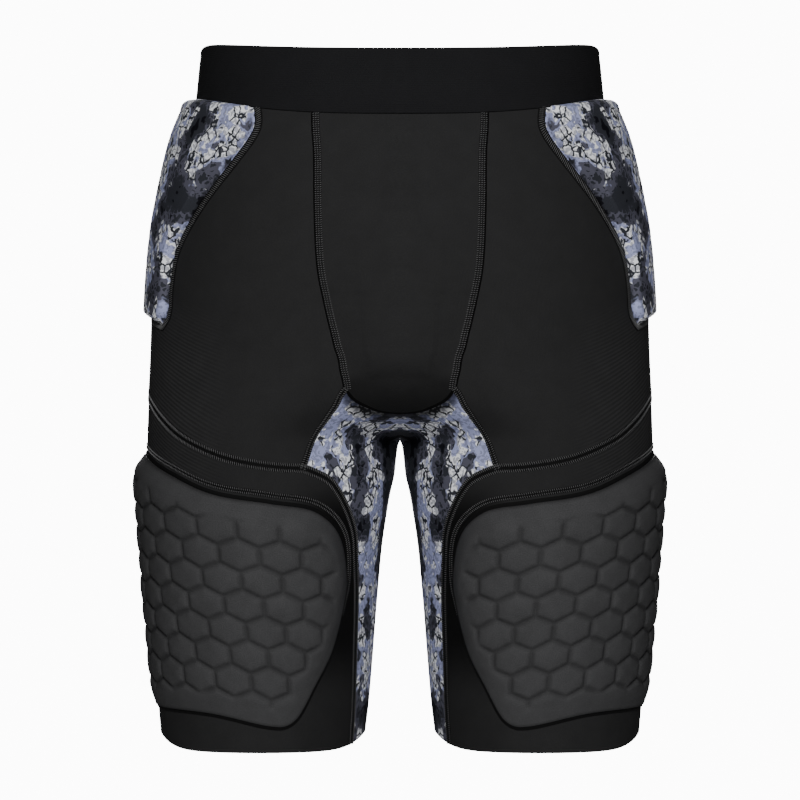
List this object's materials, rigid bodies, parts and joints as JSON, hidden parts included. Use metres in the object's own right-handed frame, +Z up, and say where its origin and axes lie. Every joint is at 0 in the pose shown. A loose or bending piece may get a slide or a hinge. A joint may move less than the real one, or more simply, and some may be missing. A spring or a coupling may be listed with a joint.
{
  "type": "padded compression shorts",
  "caption": "Stretch compression shorts held in their worn shape, with a wide elastic waistband, padded hip panels and cell-pattern foam thigh pads.",
  "frame": {"origin": "middle of the waist opening, at half the waistband's height in front, where the wearer's waist holds the shorts up", "axes": "+Z up along the wearer, front towards -Y, +X to the wearer's left"},
  "size_m": [0.3632, 0.2386, 0.4667],
  "materials": {
    "waistband_elastic": "matte black knitted elastic",
    "stretch_knit": "black stretch knit with a faint sheen and fine ribs",
    "printed_knit": "stretch knit with a lilac-grey and slate camouflage print",
    "moulded_foam": "charcoal knit laminated to moulded foam"
  },
  "bodies": {
    "root": {"waistband": "waistband_elastic", "pouch_panel": "stretch_knit", "seat_panel": "stretch_knit", "gusset": "printed_knit", "front_panel_left": "stretch_knit", "front_panel_right": "stretch_knit", "hip_pad_left": "printed_knit", "hip_pad_right": "printed_knit", "thigh_panel_left": "stretch_knit", "thigh_panel_right": "stretch_knit", "thigh_pad_left": "moulded_foam", "thigh_pad_right": "moulded_foam"}
  },
  "joints": []
}
